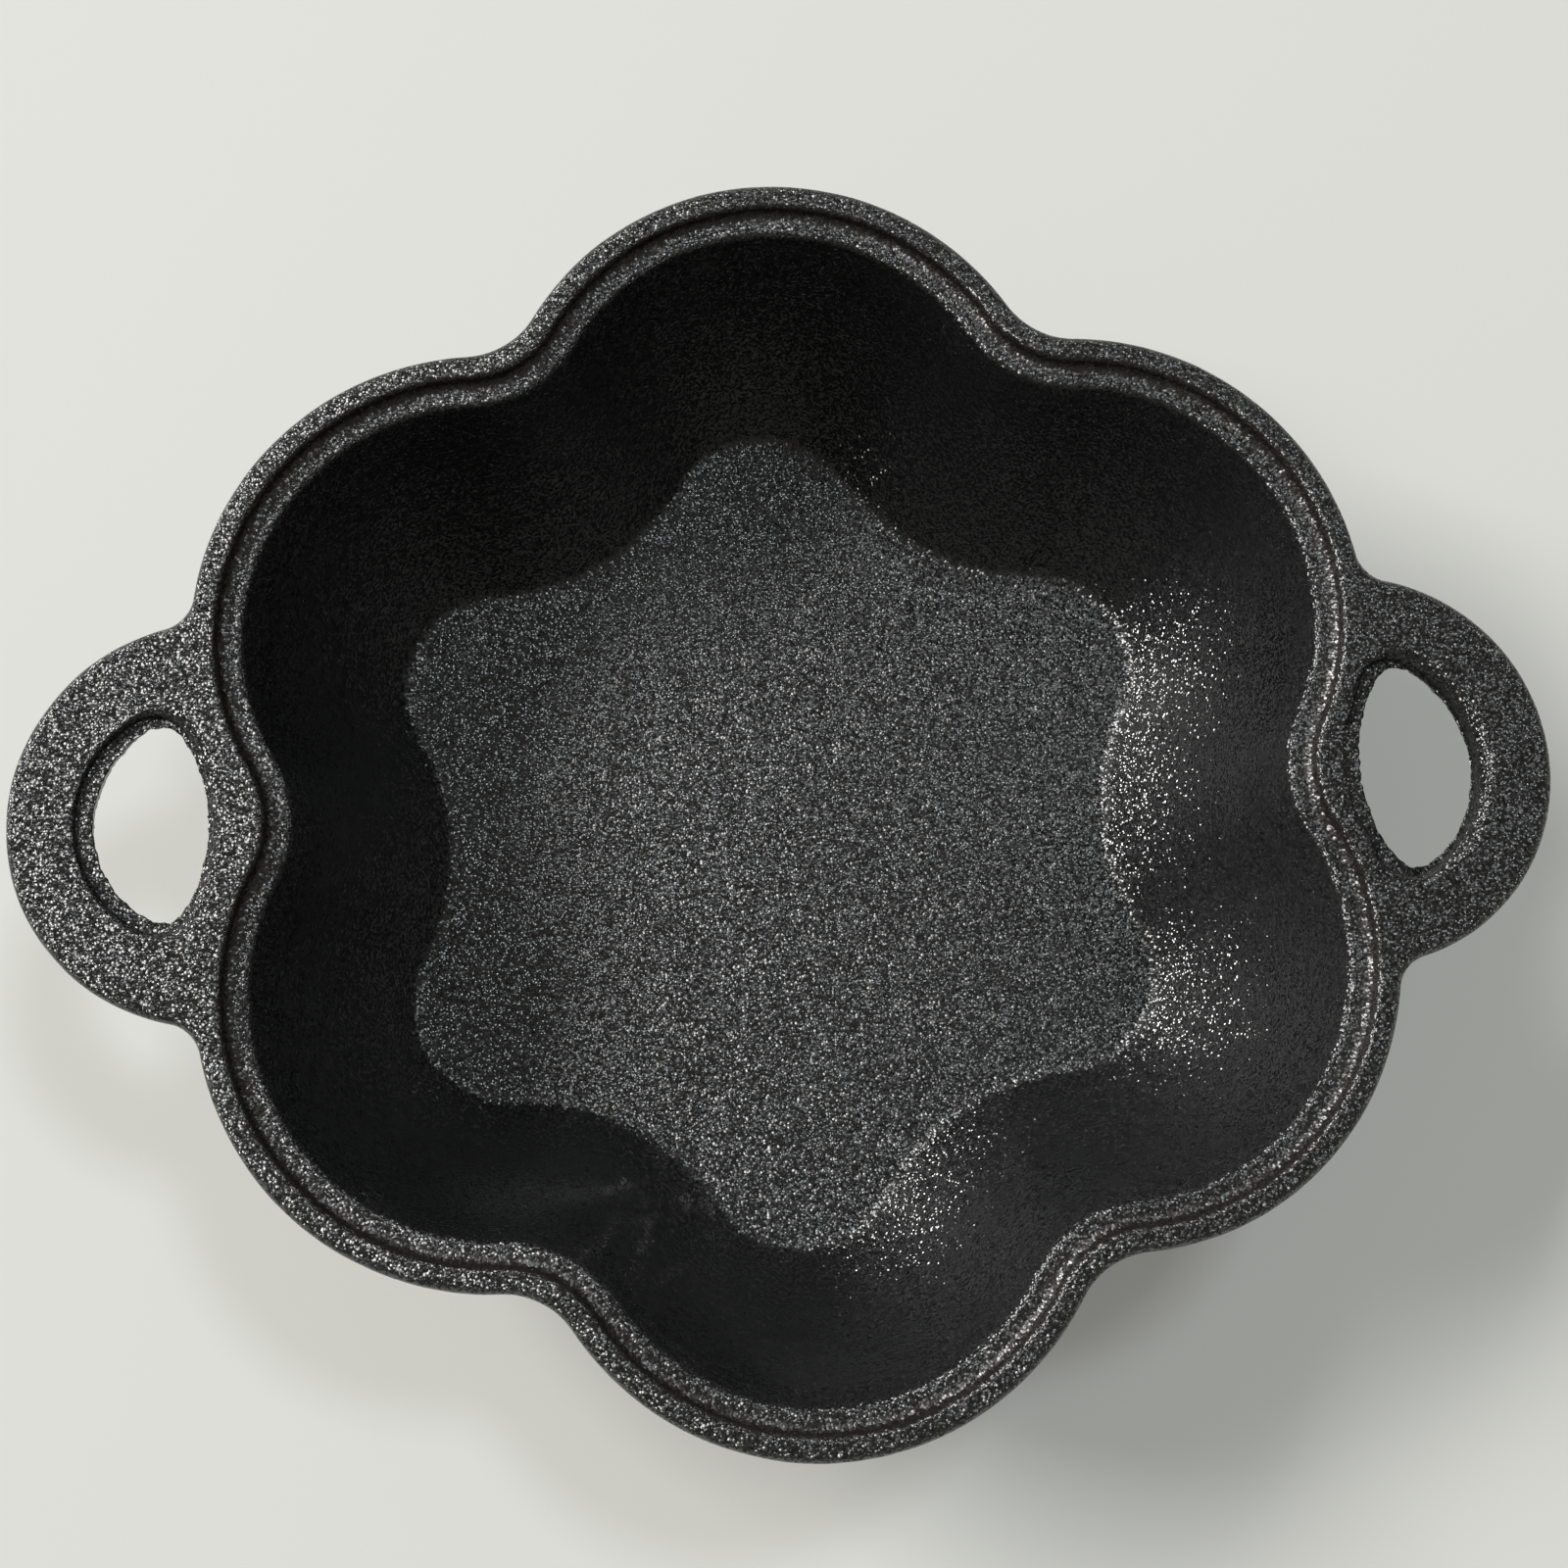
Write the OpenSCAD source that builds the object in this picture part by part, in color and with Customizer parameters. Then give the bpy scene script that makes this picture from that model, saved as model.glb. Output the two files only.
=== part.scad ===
// Garlic roaster: the pan of a six-lobed cast iron roaster with two loop handles.
// It is one casting. Millimetres, +Z up. The origin is under the middle of the pan,
// on the plane that it stands on, and the handles lie along X.
//
// The wall has one section all the way round. It is drawn once, by its distance in
// from the outer edge of the rim, and is turned about the centre of each lobe and
// about the centre of each inward curve between two lobes.

/* [Plan] */
// Distance from the middle of the pan to the centre of a lobe
lobe_pitch = 47.2; // [44:0.1:50]
// Radius of a lobe at the outer edge of the rim
lobe_r = 39.1; // [36:0.1:44]
// Radius of the inward curve between two lobes, at the outer edge of the rim
valley_r = 10.9; // [8:0.1:14]

/* [Body] */
// Height of the rim above the table
body_h = 43.3; // [38:0.1:52]
// Thickness of the floor
floor_t = 4.5; // [3.5:0.1:6]
// Distance in from the rim to the edge of the flat floor inside
floor_inset = 24.3; // [22.5:0.1:26]
// Distance in from the rim to the edge of the flat base underneath
base_inset = 22.5; // [20:0.1:24]
// How far the inside of the wall bellies out from a straight line
inner_bow = 3; // [2:0.1:4]
// How far the outside of the wall bellies out from a straight line
outer_bow = 1.8; // [1:0.1:3]
// Fillet between the wall and the floor inside
floor_fillet = 2; // [1:0.1:4]
// Rounding under the pan where the wall meets the base
heel_r = 3; // [1:0.1:5]

/* [Rim] */
// Width of the rim's flat top, from its outer edge to the lid seat
land_w = 3.6; // [3:0.1:5]
// Width of the lid seat
seat_w = 3.3; // [2.8:0.1:4.5]
// Depth of the lid seat below the rim
seat_depth = 2.1; // [1.9:0.1:3]
// How far the step down to the lid seat leans inwards
step_lean = 0.2; // [0.1:0.1:0.5]
// Rounding of the outer edges of the rim and the handles
edge_r = 1.3; // [0.8:0.1:1.8]
// Rounding of the edge above the lid seat
land_r = 0.9; // [0.5:0.1:1]
// Fillet at the foot of that step
seat_fillet = 1.1; // [0.6:0.1:1.2]
// Rounding where the lid seat turns down into the wall
lip_r = 1.2; // [0.6:0.1:1.5]

/* [Handles] */
// Distance from the middle of the pan to the end of a handle
handle_reach = 103.7; // [101:0.1:108]
// Radius of a handle's outer edge
handle_r = 26.9; // [25:0.1:29]
// Thickness of a handle
handle_t = 7; // [6:0.1:9]
// How far the upright band round the rim reaches below the handles
band_drop = 0.5; // [0.3:0.1:2]
// Radius of the inward curve where a handle leaves the pan
root_r = 5; // [3:0.1:7]

/* [Finger holes] */
// Width of the bar outside the hole, at its narrowest
grip_w = 10.2; // [9:0.1:13]
// Width of metal between the hole and the curve of the pan, at its narrowest
web_w = 3.8; // [3:0.1:6]
// Width of the hole between those two, at its narrowest section
hole_w = 15.6; // [14:0.1:18]
// Length of the hole along the handle, at its narrowest section
hole_len = 27.8; // [24:0.1:29]
// Radius of the hole's outer side
hole_outer_r = 15; // [14.6:0.1:18]
// Radius of the hole's side next to the pan
hole_inner_r = 22.5; // [19:0.1:30]
// How much the hole opens from the parting line to its edge, on the outer side
outer_draft = 0.5; // [0.3:0.1:1]
// How much the hole opens from the parting line to its edge, on the side next to the pan
inner_draft = 1.5; // [0.6:0.1:2]
// Rounding of the hole's edges
hole_edge_r = 1.2; // [0.8:0.1:1.6]

/* [Hidden] */
$fn = 96;
iron = [0.16, 0.16, 0.165];
lobe_count = 6;
half_pitch = 180 / lobe_count;
// Where two turned pieces meet, one runs on into the other by this angle, and their
// skins lie this far apart, so that they fuse into one solid without a visible step
lap_angle = 1;
lap_skin = 0.03;
// Most that one short line of a rounding may turn, and lines in a bowed wall
turn_step = 15;
bow_steps = 8;
// How far a cutter stands clear of what it cuts
clear = 1;

// The centre of an inward curve lies on the middle line between two lobes, one lobe
// radius plus one valley radius from both of their centres
centre_gap = lobe_r + valley_r;
valley_half = asin(lobe_pitch * sin(half_pitch) / centre_gap);
valley_pitch = lobe_pitch * cos(half_pitch) + centre_gap * cos(valley_half);
lobe_half = half_pitch + valley_half;
lobe_1 = lobe_pitch * [cos(half_pitch), sin(half_pitch)];

// A line in the middle of the flat top of the rim, and the inner end of that flat
land_mid = (edge_r + land_w - land_r) / 2;
land_end = land_w - land_r;

// Where the turned pieces end in the flat of the floor
floor_end = floor_inset + 2 * floor_fillet;

// Where the pan's outline crosses X, between two lobes. What the handle stands out from
// there is shared by the bar, the hole and the web, in proportion to their widths.
pan_edge = valley_pitch - valley_r;
width_fit = (handle_reach - pan_edge) / (grip_w + hole_w + web_w);

// Centres in the plan of the handle on +X, and of the inward curve at its root
handle_c = [handle_reach - handle_r, 0];
root_c = meet(handle_c, handle_r + root_r, lobe_1, lobe_r + root_r);

function unit(v) = v / norm(v);
function on_circle(c, r, a) = [c[0] + r * cos(a), c[1] + r * sin(a)];
function heading(from, to) = let (a = atan2(to[1] - from[1], to[0] - from[0])) a < 0 ? a + 360 : a;
function arc(c, r, from, to) =
  let (n = ceil(abs(to - from) / turn_step))
  [for (i = [0:n]) on_circle(c, r, from + (to - from) * i / n)];

// The place above the X axis that is ra from point a and rb from point b
function meet(a, ra, b, rb) =
  let (
    gap = norm(b - a),
    along = (gap * gap + ra * ra - rb * rb) / (2 * gap),
    away = sqrt(ra * ra - along * along),
    u = unit(b - a)
  )
  a + u * along + [u[1], -u[0]] * away;

// Points on a line from p to q that bellies out to its left by bow in the middle
function bowed(p, q, bow) =
  let (n = unit([p[1] - q[1], q[0] - p[0]]))
  [for (i = [0:bow_steps]) let (u = i / bow_steps) p + (q - p) * u + n * 4 * bow * u * (1 - u)];

// The points that round the corner b of a line from a through b to c
function corner(a, b, c, r) =
  let (
    u = unit(a - b),
    w = unit(c - b),
    half = acos(u * w) / 2,
    centre = b + unit(u + w) * r / sin(half),
    start = heading(centre, b + u * r / tan(half)),
    turn = (heading(centre, b + w * r / tan(half)) - start + 540) % 360 - 180
  )
  arc(centre, r, start, start + turn);

function without_last(points) = [for (i = [0:len(points) - 2]) points[i]];
function without_ends(points) = [for (i = [1:len(points) - 2]) points[i]];
function shifted(points, by) = [for (p = points) p + by];

// The wall's section from the bottom up, as [distance in from the rim's edge, height]
base_edge = [base_inset, 0];
band_foot = [0, body_h - handle_t - band_drop];
rim_edge = [0, body_h];
land_edge = [land_w, body_h];
seat_foot = [land_w + step_lean, body_h - seat_depth];
lip = [land_w + seat_w, body_h - seat_depth];
floor_edge = [floor_inset, floor_t];
outer_wall = bowed(base_edge, band_foot, outer_bow);
inner_wall = bowed(lip, floor_edge, -inner_bow);

function lower_section() = concat(
  corner([lobe_r, 0], base_edge, outer_wall[1], heel_r),
  without_ends(outer_wall),
  [band_foot]
);
function edge_section() = corner(band_foot, rim_edge, land_edge, edge_r);
function inside_section() = concat(
  corner(rim_edge, land_edge, seat_foot, land_r),
  corner(land_edge, seat_foot, lip, seat_fillet),
  corner(seat_foot, lip, inner_wall[1], lip_r),
  without_ends(inner_wall),
  corner(inner_wall[bow_steps - 1], floor_edge, [lobe_r, floor_t], floor_fillet)
);

// Turned between two directions about a centre in the plan
module turned(centre, from, to, points) {
  translate([centre[0], centre[1], 0])
    rotate_extrude(angle = to - from, start = from)
      polygon(points);
}

module lobe() {
  section = concat(
    [[floor_end, 0]],
    lower_section(),
    edge_section(),
    inside_section(),
    [[floor_end, floor_t]]
  );
  turned([lobe_pitch, 0], -lobe_half, lobe_half, [for (p = section) [lobe_r - p[0], p[1]]]);
}

// The inward curve between two lobes
module valley() {
  reach = valley_half + lap_angle;
  points = concat(
    [[valley_r + floor_end, lap_skin]],
    shifted(lower_section(), [valley_r + lap_skin, lap_skin]),
    shifted(edge_section(), [valley_r + lap_skin, -lap_skin]),
    shifted(inside_section(), [valley_r - lap_skin, -lap_skin]),
    [[valley_r + floor_end, floor_t - lap_skin]]
  );
  turned([valley_pitch, 0], 180 - reach, 180 + reach, points);
}

// The middle of the floor, which ends under the flat inner ends of the turned pieces
module floor_plate() {
  inset = floor_inset + floor_fillet;
  linear_extrude(floor_t)
    polygon([
      for (k = [0:lobe_count - 1])
        let (a = 2 * half_pitch * k)
        each concat(
          arc(on_circle([0, 0], lobe_pitch, a + half_pitch), lobe_r - inset,
            a + half_pitch - lobe_half, a + half_pitch + lobe_half),
          without_ends(arc(on_circle([0, 0], valley_pitch, a + 2 * half_pitch), valley_r + inset,
            a + 2 * half_pitch + 180 + valley_half, a + 2 * half_pitch + 180 - valley_half))
        )
    ]);
}

// The rounded rim of a handle, as [distance in from its outer edge, height]
function handle_section() =
  let (under = body_h - handle_t)
  concat(
    corner([land_end, under], [0, under], [0, body_h], edge_r),
    corner([0, under], [0, body_h], [land_end, body_h], edge_r)
  );

module handle_ring() {
  reach = heading(handle_c, root_c);
  side = [for (p = handle_section()) [handle_r - p[0], p[1]]];
  inner = handle_r - land_end;
  turned(handle_c, -reach, reach, concat([[inner, body_h - handle_t]], side, [[inner, body_h]]));
}

// The inward curve where a handle's edge runs into the pan's
module handle_root() {
  from = heading(root_c, lobe_1) - lap_angle;
  to = heading(root_c, handle_c) + lap_angle;
  side = shifted(handle_section(), [root_r - lap_skin, 0]);
  inner = root_r + land_end;
  turned(root_c, from, to, concat([[inner, body_h - handle_t]], side, [[inner, body_h]]));
}

// The plate inside the rounded rim of a handle, back to the middle of the pan's rim
module handle_web() {
  ring_half = heading(handle_c, root_c);
  half = concat(
    arc(handle_c, handle_r - land_mid, 0, ring_half),
    arc(root_c, root_r + land_mid, ring_half + 180, heading(root_c, lobe_1)),
    arc(lobe_1, lobe_r - land_mid, heading(lobe_1, root_c), -valley_half),
    arc([valley_pitch, 0], valley_r + land_mid, 180 - valley_half, 180)
  );
  other = [for (i = [len(half) - 2:-1:1]) [half[i][0], -half[i][1]]];
  translate([0, 0, body_h - handle_t])
    linear_extrude(handle_t)
      polygon(concat(half, other));
}

// A round cutter, narrowest at the parting line and rounded out at both faces
module hole_cutter(r, draft) {
  half_t = handle_t / 2;
  top = half_t + clear;
  rounding = corner([0, 0], [draft, half_t], [draft + half_t, half_t], hole_edge_r);
  last = rounding[len(rounding) - 1];
  beyond = last + (last - rounding[len(rounding) - 2]);
  upper = concat(without_last(rounding), [beyond, [beyond[0], top]]);
  lower = [for (i = [len(upper) - 1:-1:0]) [upper[i][0], -upper[i][1]]];
  side = shifted(concat(lower, [[0, 0]], upper), [r, 0]);
  translate([0, 0, body_h - half_t])
    rotate_extrude()
      polygon(concat([[0, -top]], side, [[0, top]]));
}

// The hole is what its outer side, its inner side and its two ends leave open
module finger_hole() {
  outer_x = handle_reach - grip_w * width_fit;
  inner_x = pan_edge + web_w * width_fit;
  ends_draft = (outer_draft + inner_draft) / 2;
  intersection() {
    translate([outer_x - hole_outer_r, 0, 0])
      hole_cutter(hole_outer_r, outer_draft);
    translate([inner_x + hole_inner_r, 0, 0])
      hole_cutter(hole_inner_r, inner_draft);
    translate([(outer_x + inner_x) / 2, 0, 0])
      hole_cutter(hole_len / 2, ends_draft);
  }
}

module handle() {
  difference() {
    union() {
      handle_web();
      handle_ring();
      handle_root();
      mirror([0, 1, 0]) handle_root();
    }
    finger_hole();
  }
}

module roaster_pan() {
  color(iron)
    union() {
      for (k = [0:lobe_count - 1]) {
        rotate([0, 0, 2 * half_pitch * k + half_pitch]) lobe();
        rotate([0, 0, 2 * half_pitch * k]) valley();
      }
      floor_plate();
      handle();
      mirror([1, 0, 0]) handle();
    }
}

roaster_pan();
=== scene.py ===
# %% [markdown]
# # A lobed cast iron garlic roaster
#
# The object is one casting: a shallow pan with six round lobes, a step inside its rim
# for a lid, and a flat loop handle at each end. It was poured in sand, so no edge on it
# is sharp and every surface carries the grain of the sand under a black seasoning.
#
# Three things make the look, and the lesson takes them in this order. First comes the
# shape: one wall section that runs round six lobes, and two handles that grow out of the
# rim. Then comes the skin of the casting, which is never quite even. Last comes the
# finish, which is almost only gloss and grain, because the iron is nearly black.

import math

import bmesh
import bpy
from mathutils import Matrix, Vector, noise


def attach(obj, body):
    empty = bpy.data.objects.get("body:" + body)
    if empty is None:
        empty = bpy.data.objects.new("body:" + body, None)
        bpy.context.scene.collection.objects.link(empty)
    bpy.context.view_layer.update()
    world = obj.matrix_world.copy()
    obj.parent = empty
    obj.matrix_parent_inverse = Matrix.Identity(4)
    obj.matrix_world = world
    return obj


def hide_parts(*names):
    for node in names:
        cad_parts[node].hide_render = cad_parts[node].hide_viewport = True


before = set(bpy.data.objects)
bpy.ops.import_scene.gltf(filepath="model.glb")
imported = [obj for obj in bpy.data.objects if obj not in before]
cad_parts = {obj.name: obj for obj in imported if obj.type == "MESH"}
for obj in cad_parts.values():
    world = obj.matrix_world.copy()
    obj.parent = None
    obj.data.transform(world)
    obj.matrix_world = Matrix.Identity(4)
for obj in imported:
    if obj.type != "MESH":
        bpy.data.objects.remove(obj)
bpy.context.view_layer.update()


# %% [markdown]
# ## The camera
#
# The camera comes first, because every later choice is judged through it. It stands
# above the pan and a little towards the near side, close enough for the far walls to
# lean outwards. Its lens and its place were worked out once from the outline of the
# rim, whose six equal arcs make a good measuring target.

# %% Set the camera over the pan
LENS_MM = 45.8
CAMERA_AT = (-0.02249, -0.03861, 0.3053)
CAMERA_TURN = (0.15502, -0.068445, -0.057632)

scene = bpy.context.scene
scene.view_settings.view_transform = "Standard"

camera_data = bpy.data.cameras.new("camera")
camera_data.lens = LENS_MM
camera_data.clip_start = 0.01
camera = bpy.data.objects.new("camera", camera_data)
camera.location = CAMERA_AT
camera.rotation_euler = CAMERA_TURN
scene.collection.objects.link(camera)
scene.camera = camera
print("camera stands", round(CAMERA_AT[2] * 1000), "mm above the table")

# %% [markdown]
# ## The sizes
#
# The sizes repeat those of the measured model, in metres. The plan needs three of them:
# how far the lobes stand out, how round they are, and how round the valleys between them
# are. Because each valley arc touches both of its lobes, the rest follows by geometry.

# %% Name the sizes of the plan, the wall and the handles
MM = 0.001
LOBES = 6
LOBE_PITCH = 47.2 * MM
LOBE_R = 39.1 * MM
VALLEY_R = 10.9 * MM

BODY_H = 43.3 * MM
FLOOR_T = 4.5 * MM
FLOOR_INSET = 24.3 * MM
BASE_INSET = 22.5 * MM
INNER_BOW = 3.0 * MM
OUTER_BOW = 1.8 * MM
FLOOR_FILLET = 2.0 * MM
HEEL_R = 3.0 * MM

LAND_W = 3.6 * MM
SEAT_W = 3.3 * MM
SEAT_DEPTH = 2.1 * MM
STEP_LEAN = 0.2 * MM
EDGE_R = 1.3 * MM
LAND_R = 0.9 * MM
SEAT_FILLET = 1.1 * MM
LIP_R = 1.2 * MM
BAND_FOOT = BODY_H - 7.5 * MM

HANDLE_REACH = 103.7 * MM
HANDLE_R = 26.9 * MM
HANDLE_T = 7.0 * MM
ROOT_R = 5.0 * MM
GRIP_W = 10.2 * MM
WEB_W = 3.8 * MM
HOLE_OUTER_R = 15.0 * MM
HOLE_INNER_R = 22.5 * MM
HOLE_TIP_R = 4.0 * MM

half_pitch = math.pi / LOBES
centre_gap = LOBE_R + VALLEY_R
valley_half = math.asin(LOBE_PITCH * math.sin(half_pitch) / centre_gap)
valley_pitch = LOBE_PITCH * math.cos(half_pitch) + centre_gap * math.cos(valley_half)
lobe_half = half_pitch + valley_half
print("valley centres stand", round(valley_pitch / MM, 2), "mm out")

# %% [markdown]
# ## The wall's section
#
# A pattern maker would draw the wall once, as a section, and sweep it round the plan.
# The drawing here does the same: each point is a distance in from the rim's edge and a
# height. Corners are rounded by arcs that touch both lines, as on the real pattern,
# because a casting can't fill a sharp corner and a hand can't hold one.

# %% Draw lines, arcs and rounded corners in a plane
def heading(start, end):
    return math.atan2(end[1] - start[1], end[0] - start[0])


def arc(centre, radius, start, end, step=math.radians(10), count=0):
    count = count or max(1, math.ceil(abs(end - start) / step - 1e-6))
    angles = [start + (end - start) * i / count for i in range(count + 1)]
    x, y = centre
    return [Vector((x + radius * math.cos(a), y + radius * math.sin(a))) for a in angles]


def corner(before, at, after, radius, steps=0):
    """The arc that rounds a corner between two lines."""
    before, at, after = Vector(before), Vector(at), Vector(after)
    back, on = (before - at).normalized(), (after - at).normalized()
    half = back.angle(on) / 2
    centre = at + (back + on).normalized() * radius / math.sin(half)
    start = heading(centre, at + back * radius / math.tan(half))
    turn = heading(centre, at + on * radius / math.tan(half)) - start
    turn = (turn + math.pi) % (2 * math.pi) - math.pi
    return arc(centre, radius, start, start + turn, count=steps)


def bowed(start, end, bow, count=12):
    """Points on a line that bellies out to its left."""
    start, end = Vector(start), Vector(end)
    along = end - start
    left = Vector((-along.y, along.x)).normalized()
    shares = [i / count for i in range(count + 1)]
    return [start + along * u + left * 4 * bow * u * (1 - u) for u in shares]


# %% Draw the section from the middle of the base, over the rim, to the middle of the floor
FLOOR_RINGS = 14
BASE_RINGS = 5

base_edge, band_foot = (BASE_INSET, 0), (0, BAND_FOOT)
rim_edge, land_edge = (0, BODY_H), (LAND_W, BODY_H)
seat_foot = (LAND_W + STEP_LEAN, BODY_H - SEAT_DEPTH)
lip = (LAND_W + SEAT_W, BODY_H - SEAT_DEPTH)
floor_edge = (FLOOR_INSET, FLOOR_T)
flat_end = FLOOR_INSET + 1.5 * FLOOR_FILLET

outer_wall = bowed(base_edge, band_foot, OUTER_BOW)
inner_wall = bowed(lip, floor_edge, -INNER_BOW)
outside = (
    corner((LOBE_R, 0), base_edge, outer_wall[1], HEEL_R)
    + outer_wall[1:-1]
    + corner(outer_wall[-2], band_foot, rim_edge, 4 * EDGE_R)
    + corner(band_foot, rim_edge, land_edge, EDGE_R)
)
inside = (
    corner(rim_edge, land_edge, seat_foot, LAND_R)
    + corner(land_edge, seat_foot, lip, SEAT_FILLET)
    + corner(seat_foot, lip, inner_wall[1], LIP_R)
    + inner_wall[1:-1]
    + corner(inner_wall[-2], floor_edge, (LOBE_R, FLOOR_T), FLOOR_FILLET)
)


def rings(height, count):
    """Rings from the wall's flat end to the middle, as (inset, share of the way, height)."""
    return [(flat_end, i / count, height) for i in range(count + 1)]


section = (
    list(reversed(rings(0, BASE_RINGS)))
    + [(p.x, 0, p.y) for p in outside + inside]
    + rings(FLOOR_T, FLOOR_RINGS)
)
print("the section has", len(section), "points")

# %% [markdown]
# ## Sweeping the section with Geometry Nodes
#
# The pan's shape is a rule, so a node tree holds it. The tree makes a grid of as many
# rows as the section has points and as many columns as the plan needs, and then moves
# each grid point to its place. A column's number says which lobe or valley it is on and
# how far round. The row's point says how far in from the rim's edge it lies and how high.
#
# Moving a grid has one advantage over sweeping along a curve: lobes and valleys are true
# arcs at every inset, because the inset only shortens or lengthens their radius.
#
# Math nodes get hard to read when there are thirty of them. A small helper class lets
# the script write them as plain sums.

# %% A helper that writes math nodes as sums
class Sum:
    """A number in a node tree. Arithmetic on it adds math nodes."""

    def __init__(self, tree, socket):
        self.tree = tree
        self.socket = socket

    def node(self, operation, other=None):
        node = self.tree.nodes.new("ShaderNodeMath")
        node.operation = operation
        self.tree.links.new(self.socket, node.inputs[0])
        if isinstance(other, Sum):
            self.tree.links.new(other.socket, node.inputs[1])
        elif other is not None:
            node.inputs[1].default_value = other
        return Sum(self.tree, node.outputs[0])

    def __add__(self, other):
        return self.node("ADD", other)

    def __sub__(self, other):
        return self.node("SUBTRACT", other)

    def __mul__(self, other):
        return self.node("MULTIPLY", other)

    def __truediv__(self, other):
        return self.node("DIVIDE", other)

    def below(self, other):
        return self.node("LESS_THAN", other)

    def sine(self):
        return self.node("SINE")

    def cosine(self):
        return self.node("COSINE")

    def arcsine(self):
        return self.node("ARCSINE")

    def floor(self):
        return self.node("FLOOR")


def either(choice, when_one, when_nought):
    """One number or the other, as choice is 1 or 0."""
    return when_nought + choice * (when_one - when_nought)


def new_tree(name, kind, inputs, outputs):
    tree = bpy.data.node_groups.new(name, kind)
    for label, socket_type in inputs:
        tree.interface.new_socket(label, in_out="INPUT", socket_type=socket_type)
    for label, socket_type in outputs:
        tree.interface.new_socket(label, in_out="OUTPUT", socket_type=socket_type)
    return tree, tree.nodes.new("NodeGroupInput"), tree.nodes.new("NodeGroupOutput")


def set_input(modifier, label, value):
    """A modifier's input is set by its socket's identifier, which isn't its name."""
    for item in modifier.node_group.interface.items_tree:
        if item.name == label and item.in_out == "INPUT":
            modifier[item.identifier] = value


# %% Build the tree that sweeps a section round the lobes
def lobed_sweep_tree():
    floats = ["Lobe Pitch", "Lobe Radius", "Valley Radius"]
    counts = ["Lobes", "Section Points", "Lobe Steps", "Valley Steps"]
    tree, given, result = new_tree(
        "Lobed sweep",
        "GeometryNodeTree",
        [("Section", "NodeSocketGeometry")]
        + [(label, "NodeSocketFloat") for label in floats]
        + [(label, "NodeSocketInt") for label in counts]
        + [("Iron", "NodeSocketMaterial")],
        [("Geometry", "NodeSocketGeometry")],
    )
    link = tree.links.new
    size = {label: Sum(tree, given.outputs[label]) for label in floats + counts}

    steps = size["Lobe Steps"] + size["Valley Steps"]
    columns = size["Lobes"] * steps + 1
    grid = tree.nodes.new("GeometryNodeMeshGrid")
    link(size["Section Points"].socket, grid.inputs["Vertices X"])
    link(columns.socket, grid.inputs["Vertices Y"])

    index = Sum(tree, tree.nodes.new("GeometryNodeInputIndex").outputs[0])
    row = ((index + 0.5) / columns).floor()
    column = index - row * columns
    lobe = ((column + 0.5) / steps).floor()
    step = column - lobe * steps
    on_lobe = step.below(size["Lobe Steps"])

    picked = tree.nodes.new("GeometryNodeSampleIndex")
    picked.data_type = "FLOAT_VECTOR"
    link(given.outputs["Section"], picked.inputs["Geometry"])
    link(tree.nodes.new("GeometryNodeInputPosition").outputs[0], picked.inputs["Value"])
    link(row.socket, picked.inputs["Index"])
    point = tree.nodes.new("ShaderNodeSeparateXYZ")
    link(picked.outputs[0], point.inputs[0])
    inset, share, height = (Sum(tree, point.outputs[i]) for i in range(3))

    pitch, round_r, valley_r = (size[label] for label in floats)
    half_turn = Sum(tree, given.outputs["Lobes"]).node("POWER", -1.0) * math.pi
    gap = round_r + valley_r
    valley_turn = (pitch * half_turn.sine() / gap).arcsine()
    lobe_turn = half_turn + valley_turn
    valley_out = pitch * half_turn.cosine() + gap * valley_turn.cosine()

    lobe_angle = (step / size["Lobe Steps"] * 2.0 - 1.0) * lobe_turn
    valley_angle = ((step - size["Lobe Steps"]) / size["Valley Steps"] * -2.0 + 1.0) * valley_turn
    angle = either(on_lobe, lobe_angle, valley_angle + math.pi)
    radius = either(on_lobe, round_r - inset, valley_r + inset)
    out = either(on_lobe, pitch, valley_out)
    turn = either(on_lobe, lobe * 2.0 + 1.0, lobe * 2.0 + 2.0) * half_turn

    along = (out + radius * angle.cosine()) * (share * -1.0 + 1.0)
    across = radius * angle.sine() * (share * -1.0 + 1.0)
    place = tree.nodes.new("ShaderNodeCombineXYZ")
    link((along * turn.cosine() - across * turn.sine()).socket, place.inputs[0])
    link((along * turn.sine() + across * turn.cosine()).socket, place.inputs[1])
    link(height.socket, place.inputs[2])

    moved = tree.nodes.new("GeometryNodeSetPosition")
    link(grid.outputs["Mesh"], moved.inputs["Geometry"])
    link(place.outputs[0], moved.inputs["Position"])
    closed = tree.nodes.new("GeometryNodeMergeByDistance")
    closed.inputs["Distance"].default_value = 0.002 * MM
    link(moved.outputs[0], closed.inputs["Geometry"])
    real = tree.nodes.new("GeometryNodeRealizeInstances")
    link(closed.outputs[0], real.inputs[0])
    finish = tree.nodes.new("GeometryNodeSetMaterial")
    link(real.outputs[0], finish.inputs["Geometry"])
    link(given.outputs["Iron"], finish.inputs["Material"])
    link(finish.outputs[0], result.inputs[0])
    return tree


# %% Sweep the pan
LOBE_STEPS = 104
VALLEY_STEPS = 14

iron = bpy.data.materials.new("seasoned_cast_iron")


def chain(name, points):
    """An object that is a line of vertices."""
    mesh = bpy.data.meshes.new(name)
    mesh.from_pydata([tuple(p) for p in points], [(i, i + 1) for i in range(len(points) - 1)], [])
    item = bpy.data.objects.new(name, mesh)
    scene.collection.objects.link(item)
    return item


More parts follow.
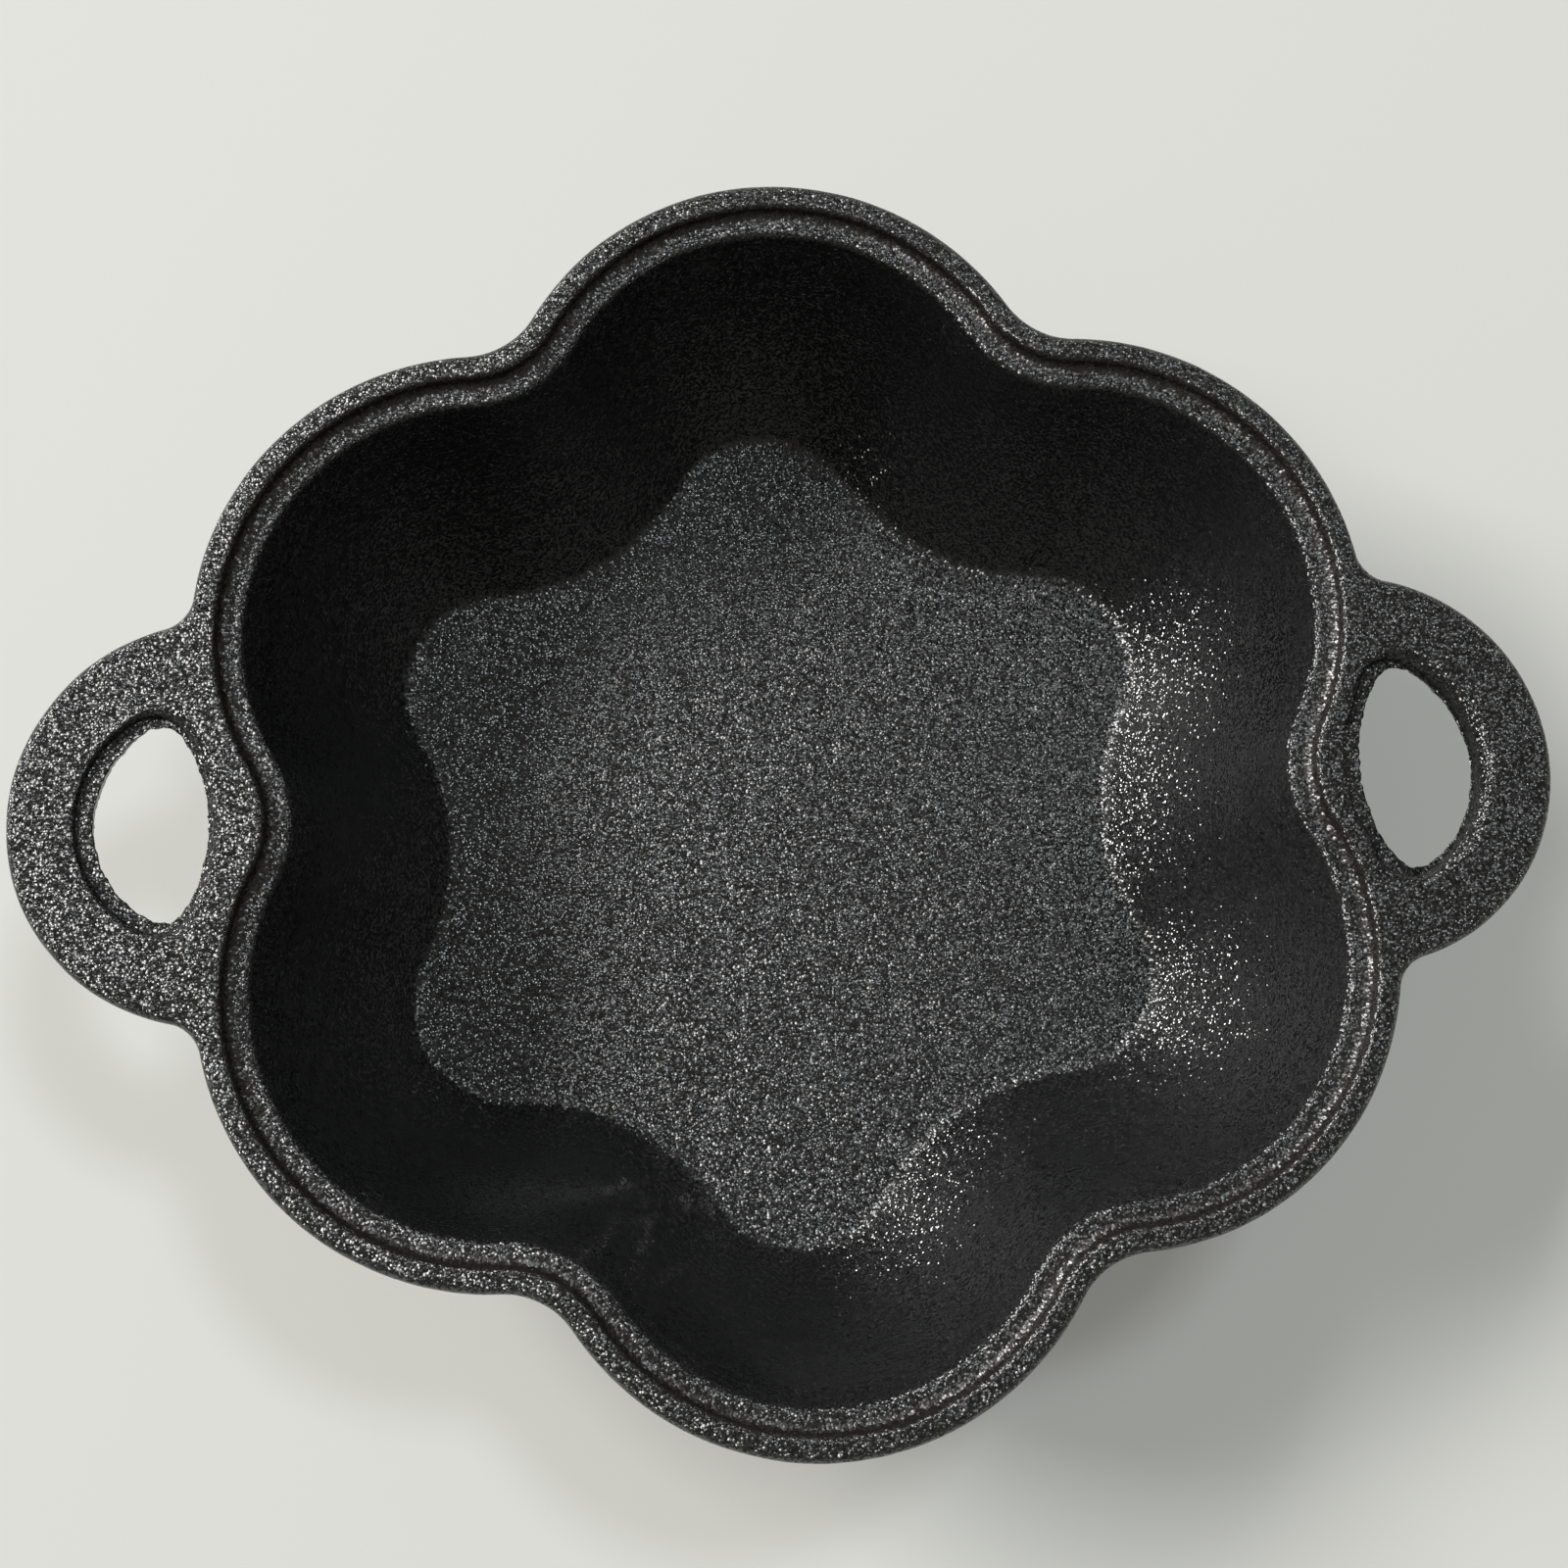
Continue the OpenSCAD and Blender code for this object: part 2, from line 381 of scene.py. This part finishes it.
def as_plain_mesh(item, name):
    """A new object with what the modifiers of item make, and nothing left live."""
    bpy.context.view_layer.update()
    seen = item.evaluated_get(bpy.context.evaluated_depsgraph_get())
    mesh = bpy.data.meshes.new_from_object(seen)
    made = bpy.data.objects.new(name, mesh)
    scene.collection.objects.link(made)
    bpy.data.objects.remove(item)
    return made


def outward(item, split=False):
    """Faces point outwards, and where asked for, those with many sides become triangles."""
    work = bmesh.new()
    work.from_mesh(item.data)
    bmesh.ops.recalc_face_normals(work, faces=work.faces)
    if split:
        bmesh.ops.triangulate(work, faces=[face for face in work.faces if len(face.verts) > 4])
    work.to_mesh(item.data)
    work.free()
    return item


sweep = chain("pan_section", section)
maker = sweep.modifiers.new("Lobed sweep", "NODES")
maker.node_group = lobed_sweep_tree()
for label, value in {
    "Lobe Pitch": LOBE_PITCH,
    "Lobe Radius": LOBE_R,
    "Valley Radius": VALLEY_R,
    "Lobes": LOBES,
    "Section Points": len(section),
    "Lobe Steps": LOBE_STEPS,
    "Valley Steps": VALLEY_STEPS,
    "Iron": iron,
}.items():
    set_input(maker, label, value)
pan = outward(as_plain_mesh(sweep, "pan"))
print("the pan has", len(pan.data.polygons), "faces")

# %% [markdown]
# ## The handles
#
# Each handle is a flat plate with a rounded edge, and its plan is a chain of arcs: a
# wide round end, a small hollow curve at each root that runs into a lobe, and a stretch
# that stays hidden inside the rim. A plate that is only seen from outside could be cut
# from a plain disc, but the hollow curves are what makes the handle grow out of the pan.
#
# The finger hole is cut by a second plate, whose edge is drafted both ways from the
# middle, as the sand needs.

# %% Draw the plan of a handle and of its hole
def meet(a, ra, b, rb):
    """The place on the left of the line from a to b that is ra from a and rb from b."""
    a, b = Vector(a), Vector(b)
    gap = (b - a).length
    along = (gap * gap + ra * ra - rb * rb) / (2 * gap)
    unit = (b - a) / gap
    return a + unit * along + Vector((unit.y, -unit.x)) * math.sqrt(ra * ra - along * along)


def spaced(centre, radius, start, end, spacing=0.7 * MM):
    """An arc the short way round, with evenly spaced points."""
    turn = (end - start + math.pi) % (2 * math.pi) - math.pi
    return arc(centre, radius, start, start + turn, spacing / radius)


def mirrored(points):
    """The closed outline of which points is the half above the X axis."""
    return points + [Vector((p.x, -p.y)) for p in reversed(points[1:-1])]


def from_rim(x, y):
    """Distance in from the pan's outline, seen from above."""
    sector = math.atan2(y, x) % (2 * half_pitch)
    out = math.hypot(x, y)
    lobe_x, lobe_y = out * math.cos(sector - half_pitch), out * math.sin(sector - half_pitch)
    near = min(sector, 2 * half_pitch - sector)
    valley_x, valley_y = out * math.cos(near), out * math.sin(near)
    past = math.atan2(abs(lobe_y), lobe_x - LOBE_PITCH)
    if past < lobe_half:
        return LOBE_R - math.hypot(lobe_x - LOBE_PITCH, lobe_y)
    return math.hypot(valley_x - valley_pitch, valley_y) - VALLEY_R


UNDER_SKIN = 0.02 * MM
hidden_inset = LAND_W - LAND_R

handle_c = (HANDLE_REACH - HANDLE_R, 0)
lobe_c = (LOBE_PITCH * math.cos(half_pitch), LOBE_PITCH * math.sin(half_pitch))
root_c = meet(handle_c, HANDLE_R + ROOT_R, lobe_c, LOBE_R + ROOT_R)
at_root = heading(handle_c, root_c)
handle_plan = mirrored(
    spaced(handle_c, HANDLE_R, 0, at_root)
    + spaced(root_c, ROOT_R + UNDER_SKIN, at_root - math.pi, heading(root_c, lobe_c))[1:]
    + spaced(lobe_c, LOBE_R - hidden_inset, heading(lobe_c, root_c), -valley_half)
    + spaced((valley_pitch, 0), VALLEY_R + hidden_inset, math.pi - valley_half, math.pi)[1:]
)

outer_c = (HANDLE_REACH - GRIP_W - HOLE_OUTER_R, 0)
inner_c = (valley_pitch - VALLEY_R + WEB_W + HOLE_INNER_R, 0)
tip_c = meet(inner_c, HOLE_INNER_R - HOLE_TIP_R, outer_c, HOLE_OUTER_R - HOLE_TIP_R)
hole_plan = mirrored(
    spaced(outer_c, HOLE_OUTER_R, 0, heading(outer_c, tip_c), 0.4 * MM)
    + spaced(tip_c, HOLE_TIP_R, heading(outer_c, tip_c), heading(inner_c, tip_c), 0.4 * MM)[1:]
    + spaced(inner_c, HOLE_INNER_R, heading(inner_c, tip_c), math.pi, 0.4 * MM)[1:]
)
print("the handle's plan has", len(handle_plan), "points, its hole", len(hole_plan))

# %% Sweep an edge round a plan and close it above and below
def inward_normals(plan):
    """For each point of a closed outline, the way in, long enough to keep the edge parallel."""
    count = len(plan)
    area = sum(plan[i - 1].cross(plan[i]) for i in range(count))
    turn = 1 if area > 0 else -1
    normals = []
    for i, p in enumerate(plan):
        back, on = (p - plan[i - 1]).normalized(), (plan[(i + 1) % count] - p).normalized()
        way = turn * Vector((-(back + on).y, (back + on).x)).normalized()
        normals.append(way / max(0.5, turn * way.dot(Vector((-on.y, on.x)))))
    return normals


def plate(name, plan, edge):
    """A closed plate. edge gives each point's side, from the underside to the top.

    It takes the point and the way in there, and returns (distance in, height, slide along X).
    """
    count = len(plan)
    ways = inward_normals(plan)
    sides = [edge(p, n) for p, n in zip(plan, ways)]
    rows = len(sides[0])
    vertices = [
        (p.x + n.x * side[r][0] + side[r][2], p.y + n.y * side[r][0], side[r][1])
        for r in range(rows)
        for p, n, side in zip(plan, ways, sides)
    ]
    faces = []
    for low in range(0, (rows - 1) * count, count):
        for i in range(count):
            on = (i + 1) % count
            faces.append((low + i, low + on, low + count + on, low + count + i))
    faces.append(tuple(reversed(range(count))))
    faces.append(tuple(range((rows - 1) * count, rows * count)))
    mesh = bpy.data.meshes.new(name)
    mesh.from_pydata(vertices, [], faces)
    item = bpy.data.objects.new(name, mesh)
    scene.collection.objects.link(item)
    return outward(item, split=True)


FLAT_STRIP = 0.3 * MM
under = BODY_H - HANDLE_T
rounded = [Vector((EDGE_R + FLAT_STRIP, under))]
rounded += corner((HANDLE_R, under), (0, under), (0, BODY_H), EDGE_R)
rounded += corner((0, under), (0, BODY_H), (HANDLE_R, BODY_H), EDGE_R)
rounded += [Vector((EDGE_R + FLAT_STRIP, BODY_H))]


def handle_edge(point, way_in):
    """Rounded where the edge shows, upright where it is hidden in the pan's rim."""
    shows = from_rim(point.x, point.y) < hidden_inset / 2
    return [(p.x * shows, p.y, 0) for p in rounded]


# %% [markdown]
# The two halves of a sand mould never meet quite true. Here the upper half's hole lies
# to the left of the lower half's, so each finger hole has a narrow shelf on its left,
# just below the top. Where the halves met, iron crept between them and was broken off,
# which left a ragged edge. Both are what tells a casting from a pressing. On the pan's
# side of the left hole there is no shelf, and the edge runs down in a wide soft slope.
# Neither hole sits quite true: both lie a millimetre closer to the pan than they should.

# %% Draw the edge of a finger hole
SHELF_W = 2.1 * MM
SHELF_SUNK = 0.9 * MM
GRIP_SUNK = 3.8 * MM
WEB_SUNK = 1.6 * MM
STEEP_DRAFT = 0.3 * MM
SOFT_DRAFT = 2.0 * MM
UNDER_DRAFT = 1.4 * MM
HOLE_EDGE_R = 2.0 * MM
SOFT_EDGE_R = 3.5 * MM
SHELF_EDGE_R = 0.6 * MM
UNDER_EDGE_R = 1.1 * MM
FLASH = 0.05 * MM
FLASH_RAG = 0.3 * MM
RAG_PITCH = 1.3 * MM
OFF_TRUE = 1.0 * MM
CLEAR = 1.0 * MM
WALL_SHARES = (0.01, 0.06, 0.35, 0.7)
SHELF_SHARES = (0.85, 0.12)


def between(share, low, high):
    return low + (high - low) * share


def ragged(point):
    """How far the broken flash stands into the hole at a point of its outline."""
    place = Vector((point.x, point.y, 0)) / RAG_PITCH
    return FLASH + FLASH_RAG * (noise.noise(place) + 0.6 * noise.noise(place * 2.3))


def half_edge(foot, tall, draft, radius):
    """The edge of one half of the hole, from the parting line to clear of the casting."""
    rounding = corner((0, 0), (-draft, tall), (-draft - tall, tall), radius, steps=7)
    beyond = rounding[-1] + (rounding[-1] - rounding[-2])
    wall = [rounding[0] * share for share in WALL_SHARES] + rounding[:-1]
    clear = [(foot + beyond.x, beyond.y), (foot + beyond.x, tall + CLEAR)]
    return [(foot + p.x, p.y) for p in wall] + clear


def hole_edge(side):
    """The edge function of the hole's cutter on one side of the pan."""

    def edge(point, way_in):
        way = way_in.normalized().x
        by_pan, on_left = (1 + way) / 2, (1 + way * side) / 2
        sunk = between(on_left, between(by_pan, GRIP_SUNK, WEB_SUNK), SHELF_SUNK)
        draft = between(by_pan**1.5 * (1 - on_left), STEEP_DRAFT, SOFT_DRAFT)
        radius = between(on_left, between(by_pan, HOLE_EDGE_R, SOFT_EDGE_R), SHELF_EDGE_R)
        true_to = -side * OFF_TRUE * (1 - on_left)
        foot, torn = true_to - SHELF_W * on_left, true_to + ragged(point)
        upper = half_edge(foot, sunk, draft, radius)
        shelf = [(between(share, foot, torn), 0) for share in SHELF_SHARES]
        under_draft = between(by_pan, UNDER_DRAFT, SOFT_DRAFT)
        lower = half_edge(torn, HANDLE_T - sunk, under_draft, UNDER_EDGE_R)
        above = [(t, BODY_H - sunk + z, -OFF_TRUE) for t, z in shelf + upper]
        below = [(t, BODY_H - sunk - z, -OFF_TRUE) for t, z in lower]
        return below[::-1] + above

    return edge


# %% [markdown]
# ## One casting
#
# The pieces are fused here, because they were poured as one. The boolean keeps the
# swept pan's even grid and only cuts it where a handle meets it.

# %% Cut the holes, fuse both handles to the pan
def boolean(item, other, operation):
    cut = item.modifiers.new(operation, "BOOLEAN")
    cut.operation = operation
    cut.object = other
    cut.solver = "MANIFOLD"


def drilled_handle(side):
    """The handle on the right or the left of the pan, for side 1 or -1."""
    handle = plate("handle", handle_plan, handle_edge)
    hole = plate("hole_cutter", hole_plan, hole_edge(side))
    boolean(handle, hole, "DIFFERENCE")
    handle = as_plain_mesh(handle, "handle")
    bpy.data.objects.remove(hole)
    for vertex in handle.data.vertices:
        vertex.co.x = side * vertex.co.x
    return outward(handle)


handles = [drilled_handle(1), drilled_handle(-1)]
for handle in handles:
    boolean(pan, handle, "UNION")
casting = outward(as_plain_mesh(pan, "casting"), split=True)
for handle in handles:
    bpy.data.objects.remove(handle)
print("the casting has", len(casting.data.polygons), "faces")

# %% [markdown]
# ## A skin that isn't quite even
#
# Sand gives way a little under the iron, so the outline of a casting wanders by a tenth
# of a millimetre or two. Nobody sees it as such, but an edge without it looks machined.
# The points move inwards only, so that the casting keeps to its size.

# %% Let the sides wander
WANDER = 0.16 * MM
WANDER_SCALE = 11 * MM
NIBBLE = 0.07 * MM
NIBBLE_SCALE = 2.6 * MM

mesh = casting.data
normals = [vertex.normal.copy() for vertex in mesh.vertices]
moved = 0
for vertex, normal in zip(mesh.vertices, normals):
    slow = 0.5 + 0.5 * noise.noise(vertex.co / WANDER_SCALE)
    quick = 0.5 + 0.5 * noise.noise(vertex.co / NIBBLE_SCALE)
    step = WANDER * slow + NIBBLE * quick
    sideways = Vector((normal.x, normal.y, 0))
    vertex.co -= sideways * sideways.length * step
    moved = max(moved, step)
print("the sides wander by up to", round(moved / MM, 2), "mm")

# %% Measure where each point lies, for the finish to follow
# The middle of the wall's section, as (distance in from the rim, height), in mm
WALL_MIDDLE = [(2.6, 42.4), (3.7, 36), (8, 29), (14, 15), (22, 3.4), (24, 2.25)]


def over_wall_middle(inset, height):
    """Whether a point in mm is on the bowl's side of the wall."""
    if inset < WALL_MIDDLE[0][0]:
        return False
    for (t0, z0), (t1, z1) in zip(WALL_MIDDLE, WALL_MIDDLE[1:]):
        if inset < t1:
            return height > z0 + (z1 - z0) * (inset - t0) / (t1 - t0)
    return height > WALL_MIDDLE[-1][1]


insets = [from_rim(v.co.x, v.co.y) / MM for v in mesh.vertices]
bowls = [float(over_wall_middle(t, v.co.z / MM)) for t, v in zip(insets, mesh.vertices)]
for label, values in (("inset", insets), ("bowl", bowls)):
    mesh.attributes.new(label, "FLOAT", "POINT").data.foreach_set("value", values)
print(round(100 * sum(bowls) / len(bowls)), "percent of the points lie inside the bowl")

# %% [markdown]
# ## The finish
#
# Bare cast iron is grey. This one is seasoned: oil was baked on in thin coats until it
# turned black, and it lies over the grain that the sand left. Nearly all that the eye
# gets is gloss. Each grain throws back the window where it happens to face it, and the
# step of the rim shows as bright lines on the side that faces the light.
#
# Smooth noise as a bump gives soft hills, which glow all over and look like leather. So
# each cell of a Voronoi texture here is one grain: a low dome with a flat face, and its
# random colour says which way that face leans. A few faces in a hundred then flash, and
# the rest stay black, on the flat parts and on the steep wall alike.

# %% A node group for the grain of the sand
def vector_math(tree, operation, first, second):
    """One vector node. Each of its inputs is a socket or three numbers."""
    node = tree.nodes.new("ShaderNodeVectorMath")
    node.operation = operation
    for value, index in ((first, 0), (second, 1)):
        if isinstance(value, tuple):
            node.inputs[index].default_value = value
        else:
            tree.links.new(value, node.inputs[index])
    return node.outputs["Value" if operation == "DOT_PRODUCT" else "Vector"]


def sand_grain_group():
    """Grains that each have a flat face with a tilt of its own, on a low dome."""
    tree, given, result = new_tree(
        "Sand grain",
        "ShaderNodeTree",
        [("Vector", "NodeSocketVector")]
        + [(label, "NodeSocketFloat") for label in ("Grain Size", "Tilt", "Dome")],
        [(label, "NodeSocketFloat") for label in ("Height", "Tone")],
    )
    link = tree.links.new
    per_grain = Sum(tree, given.outputs["Grain Size"]).node("POWER", -1.0)
    grains = tree.nodes.new("ShaderNodeTexVoronoi")
    grains.feature = "F1"
    link(given.outputs["Vector"], grains.inputs["Vector"])
    link(per_grain.socket, grains.inputs["Scale"])
    from_middle = vector_math(tree, "SUBTRACT", given.outputs["Vector"], grains.outputs["Position"])
    lean = vector_math(tree, "SUBTRACT", grains.outputs["Color"], (0.5, 0.5, 0.5))
    face = Sum(tree, vector_math(tree, "DOT_PRODUCT", from_middle, lean)) * per_grain
    dome = Sum(tree, grains.outputs["Distance"]) * -1.0 + 1.0
    height = face * Sum(tree, given.outputs["Tilt"]) + dome * Sum(tree, given.outputs["Dome"])
    tone = tree.nodes.new("ShaderNodeSeparateColor")
    link(grains.outputs["Color"], tone.inputs[0])
    link(height.socket, result.inputs["Height"])
    link(tone.outputs[0], result.inputs["Tone"])
    return tree


# %% Find the step and the wall
def ramp(value, low, high):
    """Rises smoothly from 0 at low to 1 at high."""
    node = value.tree.nodes.new("ShaderNodeMapRange")
    node.interpolation_type = "SMOOTHSTEP"
    value.tree.links.new(value.socket, node.inputs["Value"])
    node.inputs["From Min"].default_value = low
    node.inputs["From Max"].default_value = high
    return Sum(value.tree, node.outputs["Result"])


def less(mask):
    return mask * -1.0 + 1.0


def attribute(tree, name):
    node = tree.nodes.new("ShaderNodeAttribute")
    node.attribute_name = name
    return Sum(tree, node.outputs["Fac"])


def blended(tree, mask, first, second):
    """One colour or the other, as mask is 0 or 1. Each is a colour or a socket."""
    node = tree.nodes.new("ShaderNodeMix")
    node.data_type = "RGBA"
    tree.links.new(mask.socket, node.inputs[0])
    for value, index in ((first, 6), (second, 7)):
        if isinstance(value, tuple):
            node.inputs[index].default_value = value
        else:
            tree.links.new(value, node.inputs[index])
    return node.outputs[2]


iron.use_nodes = True
tree = iron.node_tree
link = tree.links.new
skin = tree.nodes["Principled BSDF"]

# Each band begins over the first two distances in from the rim's edge, in mm, and ends
# over the last two
STEP_BAND = (2.9, 3.5, 4.5, 5.6)
WALL_BAND = (7.0, 9.0, 22.8, 23.8)

in_bowl = attribute(tree, "bowl")
depth_in = attribute(tree, "inset")
step, wall = (
    in_bowl * ramp(depth_in, *band[:2]) * less(ramp(depth_in, *band[2:]))
    for band in (STEP_BAND, WALL_BAND)
)

# %% Lay the grain and the seasoning on the iron, with a painted warm reflection in the lid seat
GRAIN_SIZE = 0.34 * MM
GRAIN_TILT = 0.85
GRAIN_DOME = 0.22
SOOT_DARK, SOOT_PALE = (0.003, 0.0033, 0.0035, 1), (0.006, 0.0065, 0.0068, 1)
# The brown on the lid seat is a painted warm reflection, not a colour of the iron
SEAT_REFLECTION_BROWN = (0.010, 0.006, 0.004, 1)

place = tree.nodes.new("ShaderNodeTexCoord").outputs["Object"]
grain = tree.nodes.new("ShaderNodeGroup")
grain.node_tree = sand_grain_group()
grain.inputs["Grain Size"].default_value = GRAIN_SIZE
grain.inputs["Tilt"].default_value = GRAIN_TILT
grain.inputs["Dome"].default_value = GRAIN_DOME
link(place, grain.inputs["Vector"])

depth = less(step * 0.2) * less(wall * 0.08) * less(in_bowl * 0.15)
bump = tree.nodes.new("ShaderNodeBump")
bump.inputs["Strength"].default_value = 1.0
bump.inputs["Distance"].default_value = GRAIN_SIZE
link((Sum(tree, grain.outputs["Height"]) * depth).socket, bump.inputs["Height"])
link(bump.outputs[0], skin.inputs["Normal"])

tone = Sum(tree, grain.outputs["Tone"])
black = blended(tree, tone, SOOT_DARK, SOOT_PALE)
# Tint the lid seat's band brown: a painted warm reflection
seat_reflection_tinted = blended(tree, step * 0.8, black, SEAT_REFLECTION_BROWN)
link(seat_reflection_tinted, skin.inputs["Base Color"])
gloss = tone * 0.12 + 0.24 + step * 0.04 - wall * 0.12
link(gloss.socket, skin.inputs["Roughness"])
skin.inputs["IOR"].default_value = 1.65
skin.inputs["Specular IOR Level"].default_value = 1.0

# %% [markdown]
# ## Light and floor
#
# A dark glossy thing is lit by what it mirrors, so where the lights stand matters more
# than their strength. A wide lamp on the left, 36 degrees up, is the window. A small
# cool one high on the far side is a patch of sky, which keeps the right handle from
# going dead. The room is a weak world, a little brighter overhead and towards the
# window, so that the walls, which mirror its lower part, stay nearly black.
#
# The floor is pale matt paper. A little of what the camera and the mirrors see of it is
# plain colour, which lifts the shadow as the light from a whole room would.

# %% Set the two lamps
LAMP_AWAY = 4.0
WINDOW_TURN, WINDOW_RISE = math.radians(154), math.radians(36)
SKY_TURN, SKY_RISE = math.radians(60), math.radians(62)


def lamp(name, turn, rise, wide, tall, watts, colour):
    """A rectangular lamp that looks at the pan from LAMP_AWAY metres off."""
    data = bpy.data.lights.new(name, "AREA")
    data.shape = "RECTANGLE"
    data.size, data.size_y = wide, tall
    data.energy = watts
    data.color = colour
    item = bpy.data.objects.new(name, data)
    flat = math.cos(rise)
    way = Vector((flat * math.cos(turn), flat * math.sin(turn), math.sin(rise)))
    item.location = way * LAMP_AWAY
    item.rotation_euler = (-item.location).to_track_quat("-Z", "Y").to_euler()
    scene.collection.objects.link(item)


lamp("window", WINDOW_TURN, WINDOW_RISE, 2.0, 1.1, 158, (1.0, 0.99, 0.97))
lamp("skylight", SKY_TURN, SKY_RISE, 0.8, 0.6, 30, (0.88, 0.96, 1.0))
print("the window and the sky stand", LAMP_AWAY, "m from the pan")

# %% Set the room's light and the floor
ROOM_LEVEL = 0.08
ROOM_LEAN = 0.02
ROOM_RISE = 0.07

world = bpy.data.worlds.new("room")
scene.world = world
world.use_nodes = True
room = world.node_tree.nodes["Background"]
room.inputs["Color"].default_value = (1.0, 0.95, 0.87, 1)
way = world.node_tree.nodes.new("ShaderNodeSeparateXYZ")
from_eye = world.node_tree.nodes.new("ShaderNodeTexCoord")
world.node_tree.links.new(from_eye.outputs["Generated"], way.inputs[0])
x, y, z = (Sum(world.node_tree, way.outputs[i]) for i in range(3))
to_window = x * math.cos(WINDOW_TURN) + y * math.sin(WINDOW_TURN)
strength = to_window * ROOM_LEAN + z * ROOM_RISE + ROOM_LEVEL
world.node_tree.links.new(strength.socket, room.inputs["Strength"])

FLOOR_HALF = 4
FLOOR_GAP = 0.2 * MM
SHADOW_LIFT = 0.18
PAPER, PAPER_SEEN = (0.84, 0.846, 0.802, 1), (0.82, 0.826, 0.785, 1)

corners = [(-1, -1), (1, -1), (1, 1), (-1, 1)]
floor_mesh = bpy.data.meshes.new("floor")
floor_mesh.from_pydata(
    [(FLOOR_HALF * x, FLOOR_HALF * y, 0) for x, y in corners], [], [(0, 1, 2, 3)]
)
floor = bpy.data.objects.new("floor", floor_mesh)
floor.location.z = -FLOOR_GAP
scene.collection.objects.link(floor)
paper = bpy.data.materials.new("floor")
paper.use_nodes = True
tree = paper.node_tree
matt = tree.nodes["Principled BSDF"]
matt.inputs["Base Color"].default_value = PAPER
matt.inputs["Roughness"].default_value = 0.8
pale = tree.nodes.new("ShaderNodeEmission")
pale.inputs["Color"].default_value = PAPER_SEEN
rays = tree.nodes.new("ShaderNodeLightPath")
seen = Sum(tree, rays.outputs["Is Camera Ray"]) + Sum(tree, rays.outputs["Is Glossy Ray"])
lift = tree.nodes.new("ShaderNodeMixShader")
tree.links.new((seen * SHADOW_LIFT).socket, lift.inputs[0])
tree.links.new(matt.outputs[0], lift.inputs[1])
tree.links.new(pale.outputs[0], lift.inputs[2])
tree.links.new(lift.outputs[0], tree.nodes["Material Output"].inputs["Surface"])
floor_mesh.materials.append(paper)
print("the floor lies", round(FLOOR_GAP / MM, 1), "mm under the pan")

# %% Finish
casting.data.materials.clear()
casting.data.materials.append(iron)
casting.data.shade_smooth()
even = casting.modifiers.new("Weighted normals", "WEIGHTED_NORMAL")
even.keep_sharp = False
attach(casting, "root")
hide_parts("roaster_pan")
